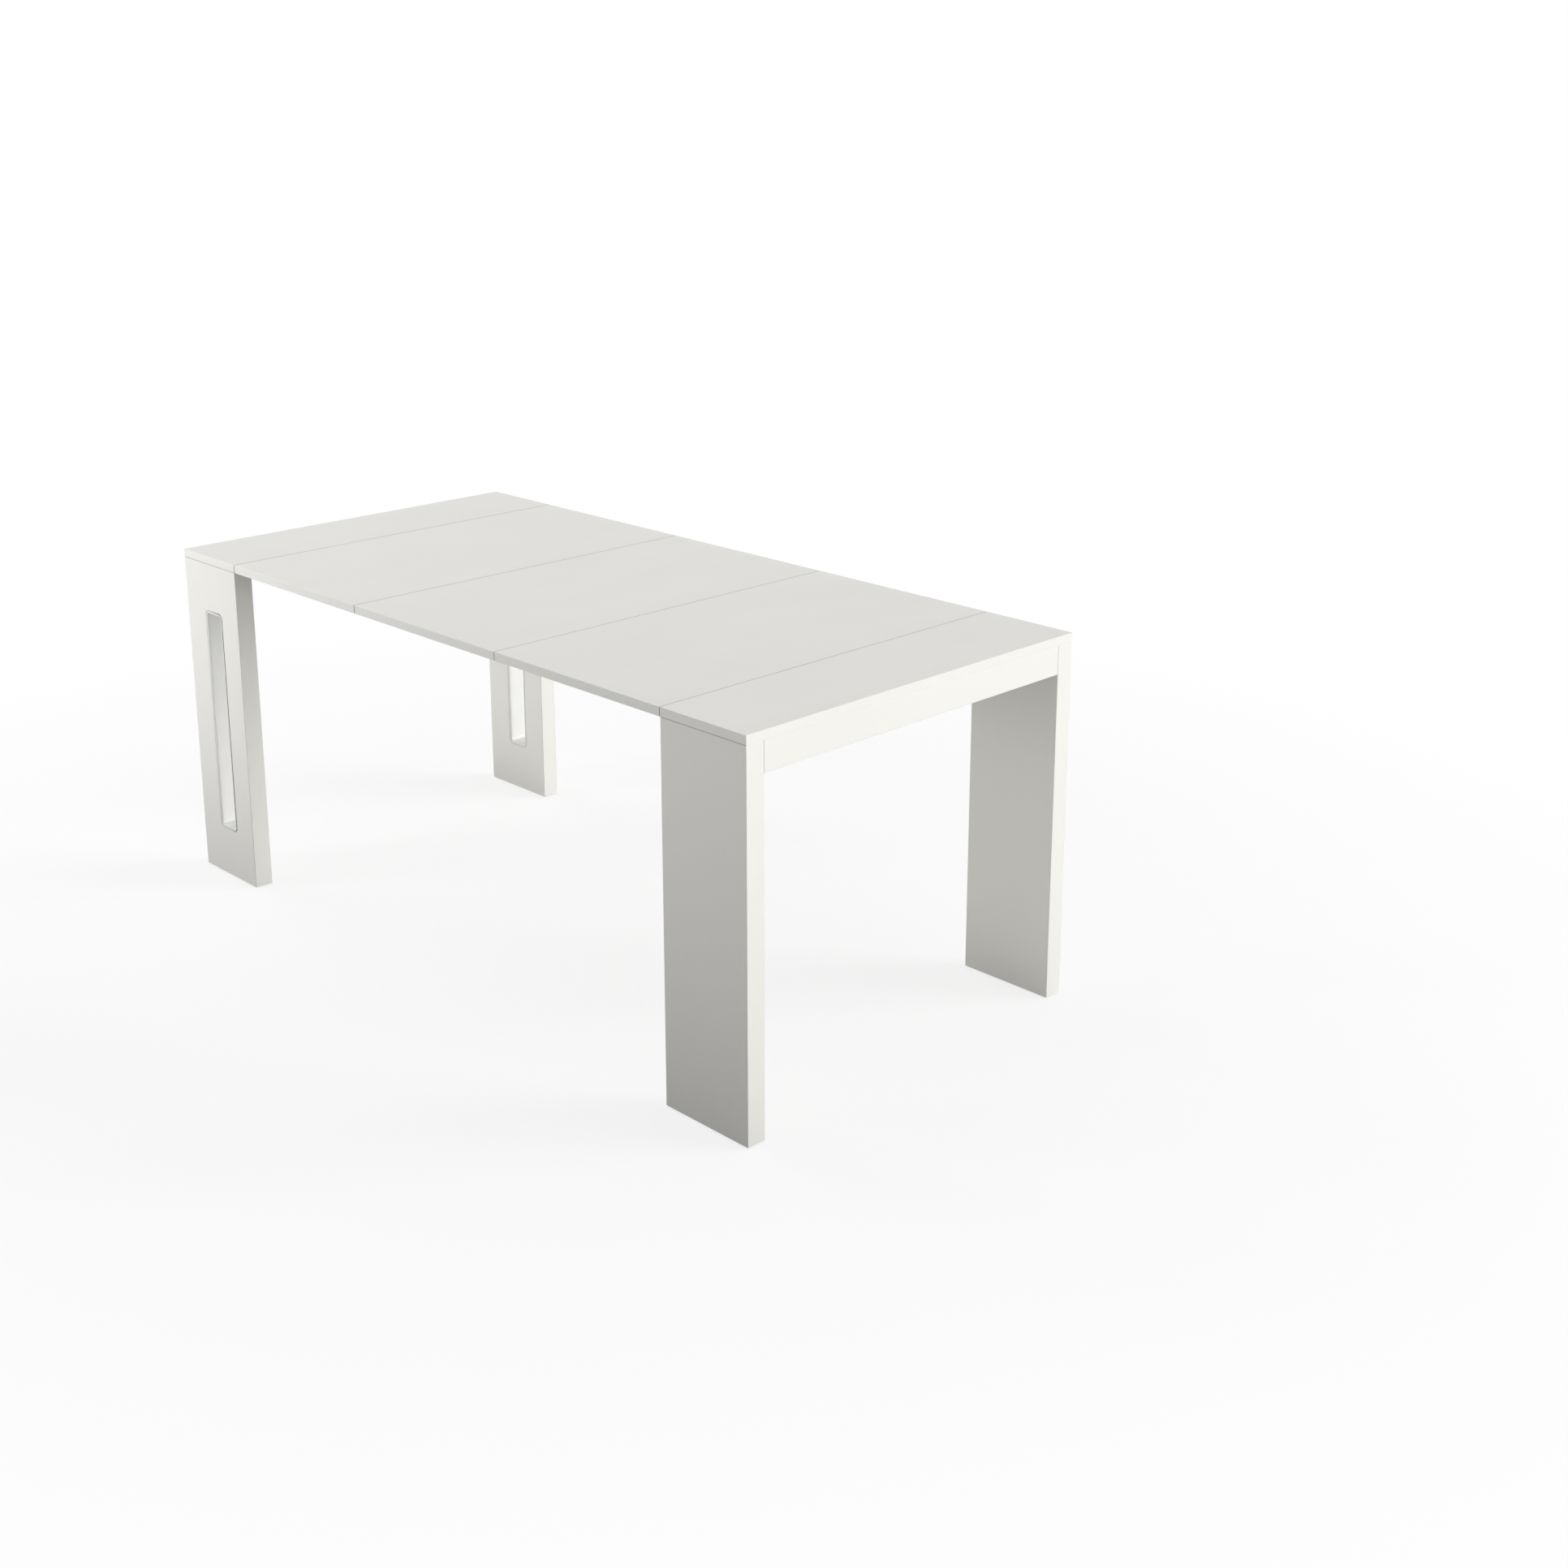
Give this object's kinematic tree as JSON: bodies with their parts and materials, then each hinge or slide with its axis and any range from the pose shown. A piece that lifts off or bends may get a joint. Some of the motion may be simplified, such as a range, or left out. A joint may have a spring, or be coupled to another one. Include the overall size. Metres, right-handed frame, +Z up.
{
  "type": "extending console table",
  "caption": "White console table that draws out on telescopic rails to a dining table; its loose leaves fill the gap and stow on edge in slots through the storage end's legs.",
  "frame": {"origin": "on the floor, under the middle of the drawn-out table", "axes": "+X along the table from the storage end to the moving end, +Y across it, +Z up"},
  "size_m": [1.844, 0.88, 0.765],
  "materials": {
    "lacquered_board": "smooth white satin lacquer on board",
    "slot_liner": "satin white",
    "rail": "anodised extrusion",
    "slider": "black nylon",
    "bracket": "zinc plated",
    "screw": "zinc plated",
    "dowel": "fluted beech, unfinished",
    "glide": "grey nylon"
  },
  "bodies": {
    "storage_end": {"storage_end_top": "lacquered_board", "storage_leg_left": "lacquered_board", "storage_leg_right": "lacquered_board", "storage_end_apron": "lacquered_board", "slot_liner_left": "slot_liner", "slot_liner_right": "slot_liner", "storage_top_pins": "dowel", "storage_frame_dowels": "dowel", "storage_foot_glides": "glide", "storage_corner_brackets": "bracket", "storage_rail_brackets": "bracket", "storage_frame_screws": "screw", "storage_rail_bolts": "screw", "storage_slot_nuts": "screw", "rail_left_1": "rail", "rail_right_1": "rail", "rail_1_stops": "slider"},
    "moving_end": {"moving_end_top": "lacquered_board", "moving_leg_left": "lacquered_board", "moving_leg_right": "lacquered_board", "moving_end_apron": "lacquered_board", "moving_frame_dowels": "dowel", "moving_foot_glides": "glide", "moving_corner_brackets": "bracket", "moving_rail_brackets": "bracket", "moving_frame_screws": "screw", "moving_rail_bolts": "screw", "moving_slot_nuts": "screw", "rail_left_6": "rail", "rail_right_6": "rail", "rail_6_sliders": "slider"},
    "leaf_1": {"leaf_1": "lacquered_board", "leaf_1_pins": "dowel"},
    "leaf_2": {"leaf_2": "lacquered_board", "leaf_2_pins": "dowel"},
    "leaf_3": {"leaf_3": "lacquered_board", "leaf_3_pins": "dowel"},
    "rail_stage_2": {"rail_left_2": "rail", "rail_right_2": "rail", "rail_2_sliders": "slider", "rail_2_stops": "slider"},
    "rail_stage_3": {"rail_left_3": "rail", "rail_right_3": "rail", "rail_3_sliders": "slider", "rail_3_stops": "slider"},
    "rail_stage_4": {"rail_left_4": "rail", "rail_right_4": "rail", "rail_4_sliders": "slider", "rail_4_stops": "slider"},
    "rail_stage_5": {"rail_left_5": "rail", "rail_right_5": "rail", "rail_5_sliders": "slider", "rail_5_stops": "slider"}
  },
  "joints": [
    {"name": "table_extension", "type": "slide", "parent": "storage_end", "child": "moving_end", "axis": [1, 0, 0], "range_m": [-1.4115, 0]},
    {"name": "rail_stage_2_slide", "type": "slide", "parent": "storage_end", "child": "rail_stage_2", "axis": [1, 0, 0], "range_m": [-0.2823, 0]},
    {"name": "rail_stage_3_slide", "type": "slide", "parent": "storage_end", "child": "rail_stage_3", "axis": [1, 0, 0], "range_m": [-0.5646, 0]},
    {"name": "rail_stage_4_slide", "type": "slide", "parent": "storage_end", "child": "rail_stage_4", "axis": [1, 0, 0], "range_m": [-0.8469, 0]},
    {"name": "rail_stage_5_slide", "type": "slide", "parent": "storage_end", "child": "rail_stage_5", "axis": [1, 0, 0], "range_m": [-1.1292, 0]},
    {"name": "leaf_1_lift", "type": "slide", "parent": "storage_end", "child": "leaf_1", "axis": [-0.8721, 0, 0.4893], "range_m": [0, 0.26985]},
    {"name": "leaf_2_lift", "type": "slide", "parent": "storage_end", "child": "leaf_2", "axis": [-0.9366, 0, 0.3504], "range_m": [0, 0.75361]},
    {"name": "leaf_3_lift", "type": "slide", "parent": "storage_end", "child": "leaf_3", "axis": [-0.9477, 0, 0.3191], "range_m": [0, 1.24122]}
  ],
  "couplings": [
    {"joint": "rail_stage_2_slide", "follows": "table_extension", "ratio": 0.2},
    {"joint": "rail_stage_3_slide", "follows": "table_extension", "ratio": 0.4},
    {"joint": "rail_stage_4_slide", "follows": "table_extension", "ratio": 0.6},
    {"joint": "rail_stage_5_slide", "follows": "table_extension", "ratio": 0.8},
    {"joint": "leaf_1_lift", "follows": "table_extension", "ratio": -0.19111},
    {"joint": "leaf_2_lift", "follows": "table_extension", "ratio": -0.53384},
    {"joint": "leaf_3_lift", "follows": "table_extension", "ratio": -0.87929}
  ]
}
